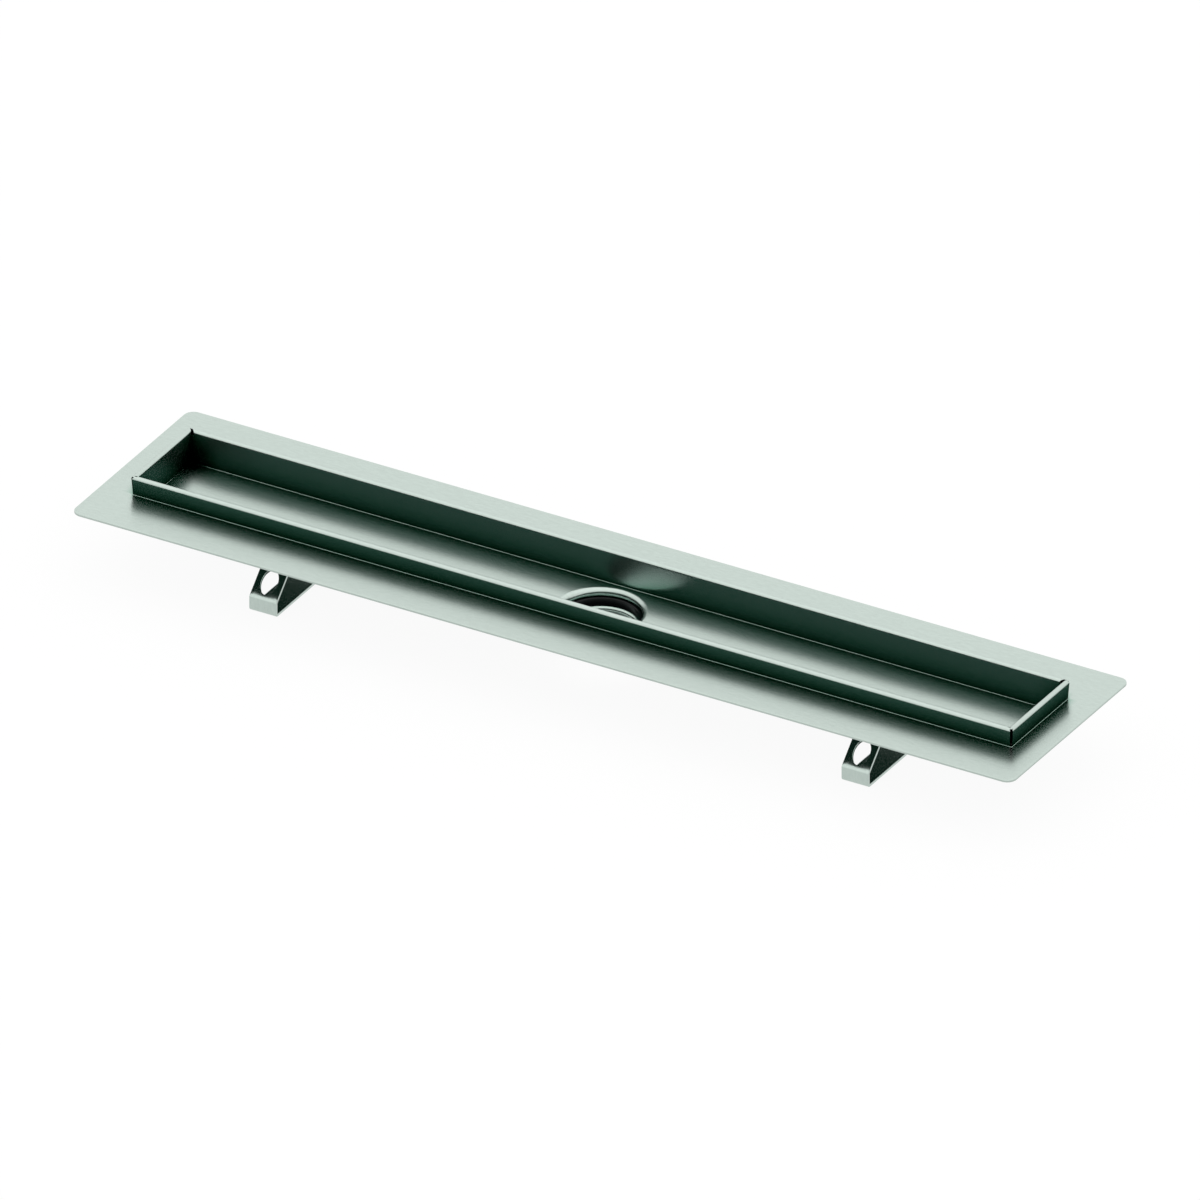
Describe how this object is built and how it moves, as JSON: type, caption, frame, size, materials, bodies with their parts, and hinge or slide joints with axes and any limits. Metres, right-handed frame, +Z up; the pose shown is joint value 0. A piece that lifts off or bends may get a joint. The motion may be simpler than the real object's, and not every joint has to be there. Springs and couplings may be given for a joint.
{
  "type": "linear shower drain",
  "caption": "Long narrow shower channel folded from stainless sheet, with a raised frame, a wide sealing flange, a central outlet with a spigot below, and bent mounting brackets.",
  "frame": {"origin": "under the middle of the outlet, on the plane that the brackets stand on", "axes": "+X along the channel, +Y across it, +Z up through the open trough"},
  "size_m": [0.7, 0.1534, 0.0633],
  "materials": {
    "stainless_sheet": "satin, fine grain along the channel",
    "stainless_strap": "satin, rolled strip",
    "seal_rubber": "matt, moulded"
  },
  "bodies": {
    "root": {"channel_body": "stainless_sheet", "outlet_socket": "stainless_sheet", "outlet_seal": "seal_rubber", "mounting_bracket_left": "stainless_strap", "mounting_bracket_right": "stainless_strap"}
  },
  "joints": []
}
